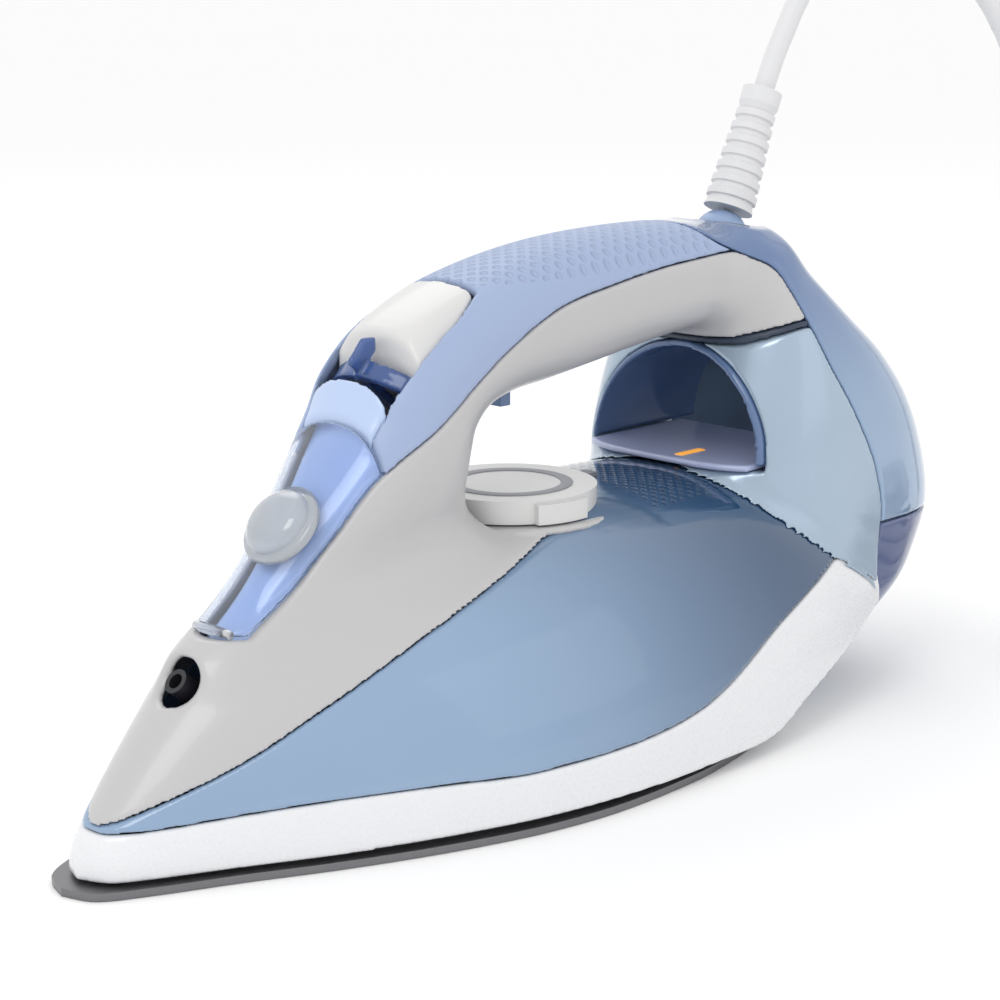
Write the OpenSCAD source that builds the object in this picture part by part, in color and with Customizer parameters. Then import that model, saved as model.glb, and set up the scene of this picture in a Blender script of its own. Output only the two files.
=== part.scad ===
// Steam iron with a water tank, spray, steam lever, temperature dial and a free cord.
// Every sub-part is its own solid. Lengths are millimetres.
// Modules are written in sole coordinates: X runs back from the sole's tip, Y is across and
// Z is up from the ironing face. place() moves them so that the origin is under the middle.

/* [Size] */
// Overall length without the cord
iron_l = 340; // [336:1:344]
// Length of the soleplate
sole_l = 252; // [250:1:254]
// Widest half width of the soleplate
sole_half = 63.4; // [62.5:0.1:64]

/* [Shells] */
// Wall of the outer shells
wall = 2.4; // [2:0.1:2.6]
// Gap between neighbouring shells
gap = 0.8; // [0.6:0.1:1]
// Radius of the tunnel through the rear support
arch_r = 34; // [33:0.5:34.5]

/* [Controls] */
// Radius of the temperature dial
dial_r = 26.5; // [25:0.5:26.5]
// Thickness of the temperature dial
dial_t = 7; // [5:0.5:7]
// Half width of the spray button
button_half = 17.5; // [16:0.5:18]

/* [Cord] */
// Diameter of the mains cord
cord_d = 7; // [6.5:0.5:7]

/* [Hidden] */
$fn = 48;

// Half width of the soleplate along its length.
SOLE = [
  [0, 0], [3, 8.6], [14, 15.6], [40, 27.4], [60, 37.2], [81, 46.3], [101, 53.6],
  [123, 59.8], [150, sole_half], [186, 62.2], [203, 59.2], [219, 55], [236, 46.5],
  [246, 35], [sole_l, 0]
];
// Half width of the body just above the soleplate.
BODY = [
  [4.8, 0], [8, 7.6], [14, 12.6], [40, 25.4], [60, 35.6], [81, 45], [101, 52.4],
  [123, 58.8], [150, 63.2], [186, 65], [215, 64], [240, 61], [265, 57], [292, 50]
];
// Height of the body's ridge, of the skirt's two edges and of the tank's upper seam.
RIDGE = [
  [4.8, 4], [9.2, 15], [40, 49.6], [52.7, 58.6], [80, 67], [137, 76], [167, 79.5],
  [200, 80], [240, 79], [265, 73], [292, 62]
];
SKIRT_LOW = [[4.8, 3], [60, 3.6], [200, 4.6], [222, 6], [240, 13], [292, 32]];
SKIRT_TOP = [[9.2, 15], [57, 18.4], [90, 18.6], [124, 17.4], [183, 22], [232, 40], [292, 58]];
TANK_SEAM = [[12, 17], [41, 29.5], [66, 42], [100, 56.5], [142, 70.6], [176, 78.4], [200, 79.9]];
// Squareness of the body's section: round at the nose and fuller behind.
FULL = [[4.8, 1.9], [60, 2], [140, 2.5], [292, 2.9]];

// Column and handle: front or upper line, rear or lower line, and half width.
COLUMN_FRONT = [
  [46, 53.5], [53, 59.4], [66, 74.5], [79, 89.5], [90, 103], [98.5, 114.5], [104, 125],
  [116, 137], [134, 146], [152, 151.4], [172, 155.2], [191, 157.2], [213, 158],
  [236, 157.7], [254, 155.8], [268, 152]
];
COLUMN_REAR = [
  [104, 40], [120, 52], [134, 66], [138, 79], [137.5, 91], [138, 100], [140, 106],
  [145, 110.4], [152, 112.6], [160, 114], [172, 115], [188, 117], [210, 120],
  [230, 122.5], [246, 124], [262, 124.6]
];
COLUMN_HALF = [9, 12, 17, 21, 23.6, 24.4, 24, 23.4, 22.8, 22.2, 21.6, 21.2, 21, 21.4, 22.6, 24.6];
// Angle from the front line at which the grey shell stops and the panels begin.
COLUMN_OPEN = [40, 44, 52, 60, 66, 72, 76, 78, 79, 80, 80, 80, 80, 80, 80, 80];

// Rear housing by height: seam with the cover, back face and half width.
REAR_LEVELS = [
  [30, 287, 318, 44], [44, 291, 334, 47], [60, 293, 340, 49], [78, 284, 337, 48.5],
  [96, 273, 328, 46.5], [112, 264, 314, 43], [128, 256, 294, 37], [140, 257, 281, 30],
  [147, 262, 275, 22]
];

dial_x = 168;
dial_low = 77;
lever_at = [113, 0, 96.6];
lever_tilt = 41.5;
door_low = [51.6, 0, 60.2];
door_tilt = 47.8;
door_len = 73;
button_at = [131, 0, 132];
button_tilt = 17;
trigger_at = [178, 0, 124.5];
cord_exit = [266, 0, 150];
cord_lean = 24;
coil_at = [392, -98];
valve_x = 82.5;
coil_r = 37;
coil_h = 24.5;

function mix(a, b, t) = a + (b - a) * t;
function seg(p, x, i = 0) = i >= len(p) - 2 || x < p[i + 1][0] ? i : seg(p, x, i + 1);
function slope(p, i) = let (a = max(i - 1, 0), b = min(i + 1, len(p) - 1))
  (p[b][1] - p[a][1]) / (p[b][0] - p[a][0]);
// Smooth curve through the points p, held level past both ends.
function curve(p, x) = let (
  q = max(p[0][0], min(x, p[len(p) - 1][0])), i = seg(p, q),
  w = p[i + 1][0] - p[i][0], t = (q - p[i][0]) / w
) p[i][1] * (2 * t^3 - 3 * t^2 + 1) + slope(p, i) * w * (t^3 - 2 * t^2 + t)
  + p[i + 1][1] * (3 * t^2 - 2 * t^3) + slope(p, i + 1) * w * (t^3 - t^2);

module place() translate([-iron_l / 2, 0, 0]) children();

// Solid through rings of equal length, closed at both ends.
module loft(rings) {
  n = len(rings[0]);
  m = len(rings);
  polyhedron(
    [for (r = rings) each r],
    concat(
      [[for (j = [0:n - 1]) j]],
      [for (i = [0:m - 2], j = [0:n - 1], k = [0, 1]) let (
        a = i * n + j, b = i * n + (j + 1) % n, c = b + n, d = a + n
      ) k == 0 ? [a, d, b] : [b, d, c]],
      [[for (j = [n - 1:-1:0]) (m - 1) * n + j]]
    ),
    convexity = 8
  );
}

function sole_y(x, inset) = max(curve(SOLE, x) - inset, 0);
function sole_pts(inset, x_in, x_out, steps = 56) = let (
  xs = [for (i = [0:steps]) let (t = i / steps) mix(x_in, x_out, (1 - cos(180 * t)) / 2)]
) concat([for (x = xs) [x, sole_y(x, inset)]],
  [for (i = [steps - 1:-1:1]) [xs[i], -sole_y(xs[i], inset)]]);
module sole_plate(inset, x_in, x_out, low, high)
  translate([0, 0, low]) linear_extrude(high - low) polygon(sole_pts(inset, x_in, x_out));

// A point of the body's section at x, at angle a from one side over the ridge, set in by t.
function body_pt(x, a, t) = let (
  n = curve(FULL, x), low = curve(SKIRT_LOW, x), c = cos(a), s = sin(a),
  w = max(curve(BODY, x) - t, 0.3), h = max(curve(RIDGE, x) - t - low, 0.3)
) [x, sign(c) * w * pow(abs(c), 2 / n), low + h * pow(s, 2 / 2.1)];
// The angle at which the body's section reaches height z.
function body_angle(x, z, t) = let (
  low = curve(SKIRT_LOW, x), h = max(curve(RIDGE, x) - t - low, 0.3),
  f = max(min((z - low) / h, 1), 0)
) asin(pow(f, 2.1 / 2));
function arc_of(x, a0, a1, t, steps) = [for (i = [0:steps]) body_pt(x, mix(a0, a1, i / steps), t)];
// Closed ring of a wall between two angles of the body's section.
function wall_ring(x, a0, a1, t0, t1, steps) = concat(
  arc_of(x, a0, a1, t0, steps), arc_of(x, a1, a0, t1, steps));

// Sole and heating.
module soleplate() color("#55565a") place() difference() {
  union() {
    sole_plate(0, 0, sole_l, 0, 2.2);
    sole_plate(6.6, 13, sole_l - 8, 2.2, 6);
  }
  steam_holes();
}
module steam_holes() for (x = [40:16:216], side = [-1, 1])
  translate([x, side * (curve(SOLE, x) - 13), -1]) cylinder(d = 3.2, h = 8, $fn = 24);

module heater_casting() color("#9a9b9d") place() difference() {
  sole_plate(12, 26, 232, 6, 15);
  element_path(5.2, 16);
}
SCREWS = [[49, 8], [196, 14]];
module screw_holes(low, high) for (p = SCREWS, side = [-1, 1])
  translate([p[0], side * p[1], low]) cylinder(r = 2.05, h = high);
module element_path(r, low) {
  for (side = [-1, 1]) translate([92, side * 30, 10.6]) rotate([0, 90, 0])
    cylinder(r = r, h = 118, $fn = 32);
  translate([92, 0, 10.6]) rotate([0, 0, 90]) rotate_extrude(angle = 180, $fn = 64)
    translate([30, 0]) circle(r, $fn = 32);
}
module heating_element() color("#6d6258") place() {
  element_path(4.2, 0);
}
module chamber_gasket() color("#b5532f") place() difference() {
  sole_plate(17, 36, 224, 15.4, 16.4);
  sole_plate(20, 42, 218, 15, 17);
}
module chamber_cover() color("#b9babc") place() difference() {
  sole_plate(16.5, 35, 225, 16.4, 17.8);
  translate([dial_x, 0, 16]) cylinder(r = 12, h = 3);
  translate([valve_x, 0, 16]) cylinder(r = 4.6, h = 3);
  screw_holes(16, 3);
}
module thermostat() color("#8c6d46") place() translate([dial_x, 0, 15]) difference() {
  union() {
    cylinder(r = 11, h = 5);
    cylinder(r = 5.5, h = 12);
  }
  translate([0, 0, 4]) cylinder(r = 3.04, h = 20);
}
module thermostat_shaft() color("#d8d3c6") place() translate([dial_x, 0, 20])
  cylinder(r = 3, h = dial_low + 3 - 20);
module heat_shield() color("#3c3d42") place() difference() {
  sole_plate(12, 30, 236, 20, 21.2);
  translate([dial_x, 0, 19]) cylinder(r = 7, h = 3);
  translate([valve_x, 0, 19]) cylinder(r = 4.6, h = 3);
}

// Skirt: one wall from rear left, round the tip, to rear right.
function skirt_x(k, u) = mix(mix(4.8, 9.2, k), 291 - 3 * (1 - k), u * u);
function skirt_y(k, x) = let (z = mix(curve(SKIRT_LOW, x), curve(SKIRT_TOP, x), k))
  let (a = body_angle(x, z, 0)) x < 9.3 + 4.4 * k
    ? curve(BODY, 4.8 + (x - mix(4.8, 9.2, k))) * mix(1, 0.86, k) : body_pt(x, a, 0)[1];
function skirt_flat(k, u) = let (x = skirt_x(k, u)) [x, skirt_y(k, x)];
function skirt_pt(side, u, k, t) = let (
  p = skirt_flat(k, u), q = skirt_flat(k, min(u + 0.02, 1)), r = skirt_flat(k, max(u - 0.02, 0)),
  d = q - r, n = u == 0 ? [1, 0] : [d[1], -d[0]] / norm(d),
  s = [p[0] + n[0] * t, max(p[1] + n[1] * t, 0)]
) [s[0], side * s[1], mix(curve(SKIRT_LOW, p[0]), curve(SKIRT_TOP, max(p[0], 9.2)), k)];
function skirt_ring(side, u) = [
  for (k = [0, 0.5, 1]) skirt_pt(side, u, k, 0), for (k = [1, 0.5, 0]) skirt_pt(side, u, k, wall)
];
module skirt() color("white") place() loft(concat(
  [for (i = [22:-1:1]) skirt_ring(-1, i / 22)], [skirt_ring(1, 0)],
  [for (i = [1:22]) skirt_ring(1, i / 22)]));

// Water tank: an arched moulding over a flat base, with a tube for the dial's shaft.
FLOOR_X = [38, 50, 66, 84, 104, 126, 150, 175, 200, 215, 228];
function floor_y(x) = body_pt(x, body_angle(x, 25, 0), 0)[1] - 4;
module tank_base() color("#6f8bab") place() difference() {
  translate([0, 0, 23]) linear_extrude(1.6) polygon(concat(
    [for (x = FLOOR_X) [x, floor_y(x)]], [for (i = [len(FLOOR_X) - 1:-1:0]) [FLOOR_X[i], -floor_y(FLOOR_X[i])]]));
  translate([dial_x, 0, 22]) cylinder(r = 8.4, h = 4);
  translate([valve_x, 0, 22]) cylinder(r = 5, h = 4);
}
function tank_ring(x) = let (
  seam = x < 200 ? curve(TANK_SEAM, x) : 200, low = body_angle(x, curve(SKIRT_TOP, x) + gap + 0.4 + max(x - 130, 0) / 90, 0),
  a = x < 200 ? body_angle(x, seam - gap / 2, 0) : 90, b = min(a + 1, 90),
  u = concat(arc_of(x, low, a, 0, 5), arc_of(x, b, 90, x < 200 ? wall + gap : 0, 5)),
  v = concat(arc_of(x, low, a, 2, 5), arc_of(x, b, 90, x < 200 ? wall + gap + 2 : 2, 5)),
  half = concat(u, [for (i = [len(u) - 2:-1:0]) [u[i][0], -u[i][1], u[i][2]]]),
  back = concat(v, [for (i = [len(v) - 2:-1:0]) [v[i][0], -v[i][1], v[i][2]]])
) concat(half, [for (i = [len(back) - 1:-1:0]) back[i]]);
module water_tank() color("#6c8fb3", 0.6) place() difference() {
  loft([for (x = [24, 30, 40, 52, 66, 82, 100, 120, 140, 160, 180, 196, 204, 222, 240, 256, 272, 286])
    tank_ring(x)]);
  translate([dial_x, 0, 60]) cylinder(r = 8.4, h = 30);
  for (x = [84, 114]) translate([x, 0, 45]) cylinder(r = 31, h = 45);
  translate([dial_x, 0, 74]) cylinder(r = 29.6, h = 20);
  translate([24, -8, 30]) cube([46, 16, 48]);
}

// Column and handle sections.
function col_pt(i, a, t) = let (
  f = COLUMN_FRONT[i], g = COLUMN_REAR[i], c = (f + g) / 2, d = (f - g) / 2, r = norm(d),
  e = d / r, u = cos(a), s = sin(a), n = 2.5,
  p = c + e * (r - t) * sign(u) * pow(abs(u), 2 / n)
) [p[0], (COLUMN_HALF[i] - t) * sign(s) * pow(abs(s), 2 / n), p[1]];
function col_arc(i, a0, a1, t, steps) = [for (k = [0:steps]) col_pt(i, mix(a0, a1, k / steps), t)];
function shell_ring(i) = let (a = COLUMN_OPEN[i]) concat(
  col_arc(i, 360 - a, a, 0, 16), col_arc(i, a, 360 - a, wall, 16));
module upper_shell() color("#dcdad8") place() difference() {
  union() {
    loft([for (x = [9.8, 12, 16, 24, 34, 46, 60, 76, 94, 112, 130, 150, 170, 184, 196])
      let (a = body_angle(x, x < 12 ? 15.6 : curve(TANK_SEAM, x) + gap / 2, 0))
      wall_ring(x, a, 180 - a, 0, wall, 18)]);
    loft([for (i = [2:14]) shell_ring(i)]);
    handle_ribs();
  }
  // Room for the door's tray, the dosing rod and the pumps inside the column.
  translate(door_low) rotate([0, -door_tilt, 0]) translate([6.4, -11.6, -22]) cube([66, 23.2, 40]);
  translate(lever_at) rotate([0, lever_tilt, 0]) translate([0, 0, -60]) cylinder(r = 3.6, h = 84);
  tube(HOSE, 2.6, 8);
  translate([dial_x, 0, 70]) cylinder(r = 29.2, h = 30);
  translate([41, 0, 48]) rotate([0, -45, 0]) cylinder(r = 4.4, h = 30, center = true);
  translate([167.5, 0, 114]) cube([25, 16, 14], center = true);
}

module handle_ribs() for (x = [196:6:238]) translate([x, 0, curve([[188, 117], [246, 124]], x) + 1.8])
  hull() {
    translate([0, -8, 0]) cylinder(r = 0.6, h = 3);
    translate([0, 8, 0]) cylinder(r = 0.6, h = 3);
  }

module handle_top() color("#a9b6dc") place() difference() {
  loft([for (i = [6:15]) let (a = COLUMN_OPEN[i] - 1.6) concat(
    col_arc(i, a, -a, 0, 12), col_arc(i, -a, a, wall, 12))]);
  translate(button_at) rotate([0, -button_tilt, 0]) button_room();
  cord_well();
}
// Round well that the swivel and the strain relief stand in.
module cord_well() {
  translate(cord_exit) sphere(r = 10);
  translate(cord_exit) cylinder(r = 14, h = 30);
}

// Filler door, its tray and plug.
module on_door() place() translate(door_low) rotate([0, -door_tilt, 0]) children();
// Outline of the door: narrow at the hinge and round at the top.
function door_half(x) = curve([[0, 7.6], [20, 12], [45, 17], [60, 18.6], [68, 15], [door_len, 5]], x);
function door_pts(t) = let (xs = [for (i = [0:18]) mix(0.8 + t, door_len - t, i / 18)])
  concat([for (x = xs) [x, max(door_half(x) - t, 1)]], [for (i = [18:-1:0]) [xs[i], -max(door_half(xs[i]) - t, 1)]]);
module filler_door() color("#8fb0e8", 0.7) on_door() difference() {
  union() {
    translate([0, 0, 0.6]) linear_extrude(2.6) polygon(door_pts(0.8));
    translate([1.6, 0, 0]) rotate([90, 0, 0]) cylinder(r = 2.6, h = 12, center = true);
  }
  translate([1.6, 0, 0]) rotate([90, 0, 0]) cylinder(r = 1.28, h = 20, center = true);
}
module door_hinge_pin() color("#c9ccd2") on_door() translate([1.6, 0, 0]) rotate([90, 0, 0])
  cylinder(r = 1.25, h = 15, center = true);
module filler_funnel() color("#9db4dd") on_door() difference() {
  union() {
    translate([7, 0, -9]) linear_extrude(8.6) polygon([[0, -8.6], [56, -10.6], [56, 10.6], [0, 8.6]]);
    translate([41, 0, -14]) cylinder(r = 9.6, h = 6);
  }
  translate([8.4, 0, -7.6]) linear_extrude(9) polygon([[0, -7], [53, -9], [53, 9], [0, 7]]);
  translate([41, 0, -21]) cylinder(r = 7.6, h = 20);
}
module filler_plug() color("#c9cdd6", 0.7) on_door() translate([41, 0, 0.5]) {
  translate([0, 0, -9]) cylinder(r = 6, h = 9);
  translate([0, 0, -6]) cylinder(r = 8.2, h = 1.6);
}
module filler_gasket() color("#555a66") on_door() translate([41, 0, -8.2]) difference() {
  cylinder(r = 7.2, h = 1.4);
  translate([0, 0, -1]) cylinder(r = 6.05, h = 4);
}

// Parts about the leaning axis of the column.
module on_lever() place() translate(lever_at) rotate([0, lever_tilt, 0]) children();
module lever_sector(r0, r1, half, low, high) rotate([0, 0, 180 - half]) translate([0, 0, low])
  rotate_extrude(angle = 2 * half, $fn = 96) translate([r0, 0]) square([r1 - r0, high - low]);
module symbol_band() color("#b9cdf0") on_lever() lever_sector(21.5, 24, 42, 5, 15.6);
module steam_lever() color("#3f5ea8", 0.8) on_lever() {
  lever_sector(21.6, 25.4, 30, 16.4, 22);
  lever_sector(3.02, 22, 7, 16.8, 19);
  translate([0, 1.2, 0]) rotate([90, 0, 0]) linear_extrude(2.4)
    polygon([[-22.4, 17], [-28.4, 17], [-28.8, 23], [-27.2, 27.2], [-25.6, 28.6], [-24.2, 28.6]]);
}
module dosing_rod() color("#d9d9d4") on_lever() {
  translate([0, 0, -48]) cylinder(r = 3, h = 70);
}
module dosing_valve() color("#e8e4d8") place() difference() {
  union() {
    translate([valve_x, 0, 18.2]) cylinder(r = 4, h = 40);
    translate([valve_x, 0, 62.1]) sphere(r = 7);
  }
  translate(lever_at) rotate([0, lever_tilt, 0]) translate([0, 0, -49]) cylinder(r = 3.04, h = 30);
}

// Spray button and its pump.
module on_button() place() translate(button_at) rotate([0, -button_tilt, 0]) children();
// Opening in the handle's top for the lever and the button.
module button_room() translate([-30, -19.4, -14]) cube([44.4, 38.8, 40]);
function button_ring(t, z) = let (b = button_half - t, f = t * 0.6 - 13, r = 13.6 - t * 0.5) [
  [f, 3 - b, z], [f + 3, -b, z], [r - 3, -b, z], [r, 3 - b, z],
  [r, b - 3, z], [r - 3, b, z], [f + 3, b, z], [f, b - 3, z]
];
module spray_button() color("#f1f0ee") on_button() difference() {
  loft([button_ring(0, 0), button_ring(4.4, 9), button_ring(5.6, 11.8), button_ring(7.4, 13)]);
  translate([-9, -9, -1]) cube([19, 18, 11.6]);
}
module button_spring() color("#c8cacc") on_button() translate([4, 0, -5]) difference() {
  cylinder(r = 5.4, h = 15.4);
  translate([0, 0, -1]) cylinder(r = 4.6, h = 20);
}
module spray_pump() color("#d5d8de") on_button() translate([4, 0, -20]) difference() {
  cylinder(r = 7, h = 15);
  translate([0, 0, 3]) cylinder(r = 3.04, h = 20);
}
module pump_plunger() color("#f1f0ee") on_button() translate([4, 0, -9]) cylinder(r = 3, h = 19.6);
HOSE = [[138, 4, 110], [133, 12, 96], [118, 14, 80], [100, 12.5, 64], [76, 10, 52], [56, 4, 46], [47, 0, 43.6]];
module nozzle_hose() color("#b8bcc4") place() {
  tube(HOSE, 1.8, 8);
}
module spray_nozzle() color("#2c2d31") place() translate([41, 0, 48.6]) rotate([0, -50, 0])
  difference() {
    translate([0, 0, -7]) cylinder(r = 3.6, h = 9);
    translate([0, 0, -1.6]) cylinder(r = 2.2, h = 6);
  }

// Boost trigger under the handle.
module trigger() color("#7f93ba") place() difference() {
  union() {
    translate([157, -7, 109.6]) cube([4, 14, 12]);
    translate([157, -7, 118.6]) cube([22, 14, 3]);
    translate(trigger_at) rotate([90, 0, 0]) cylinder(r = 3.4, h = 14, center = true);
  }
  translate(trigger_at) rotate([90, 0, 0]) cylinder(r = 1.55, h = 30, center = true);
}
module trigger_pin() color("#c9ccd2") place() translate(trigger_at) rotate([90, 0, 0])
  cylinder(r = 1.5, h = 24, center = true);
module trigger_spring() color("#c8cacc") place() translate([163, 0, 122]) difference() {
  cylinder(r = 3, h = 8);
  translate([0, 0, -1]) cylinder(r = 2.4, h = 10);
}
module boost_pump() color("#d5d8de") place() translate([152, 0, 138]) rotate([0, 90, 0])
  cylinder(r = 6, h = 44);

// Temperature dial.
module temperature_dial() color("#efefec") place() translate([dial_x, 0, dial_low]) difference() {
  union() {
    cylinder(r = dial_r, h = dial_t);
    intersection() {
      cylinder(r = dial_r + 2, h = dial_t - 1);
      rotate([0, 0, -100]) translate([dial_r - 5, -9, 0]) cube([9, 18, dial_t - 1]);
    }
  }
  translate([0, 0, -1]) cylinder(r = 3.02, h = 4.02);
}
module dial_pointer() color("#7b7f88") place() translate([dial_x + 34, 0, 81])
  cube([6, 5, 1.4], center = true);

// Rear support: an arch over the platform, with a tunnel from front to back.
SUPPORT_TOP = [[206, 86], [218, 89], [230, 97], [240, 110], [250, 119], [261, 119], [266, 107], [288, 69.5]];
SUPPORT_HALF = [[206, 36], [230, 42], [250, 46], [292, 49]];
SUPPORT_X = [231, 236, 241, 247, 254, 261, 268, 275, 282, 288];
module support_slice(x) translate([x, 0, 0]) rotate([90, 0, 90]) linear_extrude(0.02) polygon([
  for (i = [0:20]) let (
    low = max(curve(RIDGE, x) - 6.5, 62), top = curve(SUPPORT_TOP, x), w = curve(SUPPORT_HALF, x),
    c = cos(9 * i), s = sin(9 * i)
  ) [sign(c) * w * pow(abs(c), 0.72), low + (top - low) * pow(s, 0.8)]
]);
module rear_support() color("#b3c4d8") place() difference() {
  for (i = [0:8]) hull() {
    support_slice(SUPPORT_X[i]);
    support_slice(SUPPORT_X[i + 1]);
  }
  translate([200, 0, 82]) rotate([0, 90, 0]) cylinder(r = arch_r + 2.4, h = 120, $fn = 96);
  translate([200, -arch_r - 2.4, 40]) cube([120, 2 * arch_r + 4.8, 42]);
}
module arch_liner() color("#46618f") place() difference() {
  translate([242, 0, 82]) rotate([0, 90, 0]) cylinder(r = arch_r + 2, h = 46, $fn = 96);
  translate([200, 0, 82]) rotate([0, 90, 0]) cylinder(r = arch_r, h = 120, $fn = 96);
  translate([200, -60, 20]) cube([120, 120, 62.4]);
}
module arch_platform() color("#b5bbdc") place() translate([224, -32, 80.4]) difference() {
  cube([60, 64, 2]);
  translate([15.2, 24, -1]) cube([12.4, 3.4, 5]);
}
module indicator_lens() color("#f0a030") place() translate([239.4, -7.8, 79.6]) cube([12, 3, 3]);
module indicator_board() color("#2f6b3f") place() translate([234, -12, 72]) cube([18, 14, 1.4]);
module support_seal() color("#2b3340") place() translate([233, -19, 121]) cube([28, 38, 1]);

// Rear cover and heel.
HEEL_LEVELS = [[30, 287, 318, 44], [36, 289, 326, 45.5], [44, 291, 334, 47], [52, 292, 338, 48.3], [59.2, 293, 340, 49]];
function rear_pt(v, a, t) = let (c = cos(a), s = sin(a), r = v[2] - v[1] - t, n = 0.72)
  [v[1] + r * pow(max(c, 0), n), (v[3] - t) * sign(s) * pow(abs(s), n), v[0]];
function rear_ring(v, t0, t1) = concat(
  [for (k = [18:-1:0]) rear_pt(v, -90 + k * 10, t0)], [for (k = [0:18]) rear_pt(v, -90 + k * 10, t1)]);
module rear_cover() color("#a7bdd6", 0.9) place() difference() {
  loft([for (i = [2:8]) rear_ring(REAR_LEVELS[i], 0, wall)]);
  translate([280, 0, 92]) rotate([0, 90, 0]) cylinder(r = 22, h = 90);
  translate([240, -40, 135]) cube([29, 80, 20]);
  cord_well();
}
module heel_cover() color("#565f8c") place() loft([for (v = HEEL_LEVELS) rear_ring(v, 0, wall)]);
module base_cover() color("#e4e6ea") place() translate([236, -44, 9.5]) rotate([0, -24.5, 0])
  cube([56, 88, 2]);
module heel_feet() color("#3a3f55") place() for (side = [-1, 1])
  translate([338, side * 24, 66]) rotate([0, 90, 0]) cylinder(r = 4, h = 2);

// Electrical parts and cord.
module terminal_block() color("#e4e0d4") place() translate([262, -14, 128]) cube([14, 28, 10]);
module cord_ball() color("#8ea3c9") place() translate(cord_exit) {
  sphere(r = 9);
  translate([0, 0, -10.8]) cylinder(r = 4, h = 10);
}
module on_cord() place() translate(cord_exit) rotate([0, cord_lean, 0]) children();
module strain_relief() color("#e6e6e6") on_cord() difference() {
  translate([0, 0, 9.3]) rotate_extrude() polygon(concat([[0, 0], [8.2, 0]], [
    for (i = [0:6], e = [0, 1, 2, 3]) let (r = mix(7.4, 5.6, i / 6))
      [r + (e == 1 || e == 2 ? 0.9 : 0), 3 + i * 4.6 + [0, 0.4, 2.6, 3][e]]
  ], [[6.6, 36], [6.6, 41], [0, 41]]));
  translate([0, 0, 40]) cylinder(d = cord_d, h = 20);
}

// Tube swept along points by parallel rings.
function unit(v) = v / norm(v);
function dir_at(p, i) = unit(p[min(i + 1, len(p) - 1)] - p[max(i - 1, 0)]);
function side_at(p, i) = i == 0 ? unit(cross(dir_at(p, 0), [0.13, 0.9, 0.21]))
  : let (d = dir_at(p, i), s = side_at(p, i - 1)) unit(s - d * (s * d));
module tube(p, r, sides) loft([for (i = [0:len(p) - 1]) let (d = dir_at(p, i), a = side_at(p, i), b = cross(d, a))
  [for (k = [0:sides - 1]) p[i] + r * (a * cos(360 * k / sides) + b * sin(360 * k / sides))]]);
// Smooth curve through route points, with steps points from each to the next.
function route_pt(p, i, t) = let (
  a = p[max(i - 1, 0)], b = p[i], c = p[i + 1], d = p[min(i + 2, len(p) - 1)]
) ((2 * b) + (c - a) * t + (2 * a - 5 * b + 4 * c - d) * t^2 + (3 * b - a - 3 * c + d) * t^3) / 2;
function route(p, steps) = concat([for (i = [0:len(p) - 2], k = [0:steps - 1]) route_pt(p, i, k / steps)],
  [p[len(p) - 1]]);
relief_top = cord_exit + 48.4 * [sin(cord_lean), 0, cos(cord_lean)];
CORD_ROUTE = [
  relief_top, [294, -1, 212], [306, -4, 232], [326, -12, 245], [350, -22, 243], [370, -32, 222],
  [384, -42, 185], [395, -50, 140], [402, -57, 95], [406, -60, 60], [402, -61, 40], [386, -61, 28.2]
];
module cord() color("#e9e9ea") place() tube(route(CORD_ROUTE, 3), cord_d / 2, 8);
module cord_coil() color("#e9e9ea") place() translate([coil_at[0], coil_at[1] , 0])
  rotate_extrude($fn = 72) translate([coil_r - 11, 0]) square([22, coil_h]);
module cord_tie() color("#4a4d55") place() translate([coil_at[0] + coil_r - 13, coil_at[1] - 3, 0])
  difference() {
    cube([26, 6, coil_h + 2]);
    translate([2, -1, 2]) cube([22, 8, coil_h - 2]);
  }
// The tail climbs out of the coil's middle to the plug that lies on top.
tail_r = 22;
plug_z = 42.2;
module cord_tail() color("#e9e9ea") place() tube(
  [for (i = [0:18]) let (a = i * 15) [
    coil_at[0] + tail_r * cos(a), coil_at[1] + tail_r * sin(a), mix(7, plug_z, (1 - cos(10 * i)) / 2)]],
  cord_d / 2, 8);
module plug() color("#f0f0f0") place() translate([coil_at[0] + 0.1, coil_at[1] - tail_r, plug_z]) rotate([0, 90, 0]) {
  cylinder(r1 = 5, r2 = 7, h = 17);
  translate([0, 0, 17]) cylinder(r = 17.5, h = 30);
}
module plug_pins() color("#c9ccd2") place() for (side = [-1, 1])
  translate([coil_at[0] + 47.1, coil_at[1] - tail_r + side * 9.5, plug_z]) rotate([0, 90, 0])
    cylinder(r = 2.4, h = 19);
module screws() color("#b9babc") place() for (p = SCREWS, side = [-1, 1]) translate([p[0], side * p[1], 0]) {
  translate([0, 0, 15]) cylinder(r = 2, h = 3);
  translate([0, 0, 17.8]) cylinder(r = 3.6, h = 1.6);
}

soleplate();
heater_casting();
heating_element();
chamber_gasket();
chamber_cover();
thermostat();
thermostat_shaft();
heat_shield();
skirt();
tank_base();
water_tank();
upper_shell();
handle_top();
filler_door();
door_hinge_pin();
filler_funnel();
filler_plug();
filler_gasket();
symbol_band();
steam_lever();
dosing_rod();
dosing_valve();
spray_button();
button_spring();
spray_pump();
pump_plunger();
nozzle_hose();
spray_nozzle();
trigger();
trigger_pin();
trigger_spring();
boost_pump();
temperature_dial();
dial_pointer();
rear_support();
arch_liner();
arch_platform();
indicator_lens();
indicator_board();
support_seal();
rear_cover();
heel_cover();
heel_feet();
base_cover();
terminal_block();
cord_ball();
strain_relief();
cord();
cord_coil();
cord_tail();
cord_tie();
plug();
plug_pins();
screws();
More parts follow.
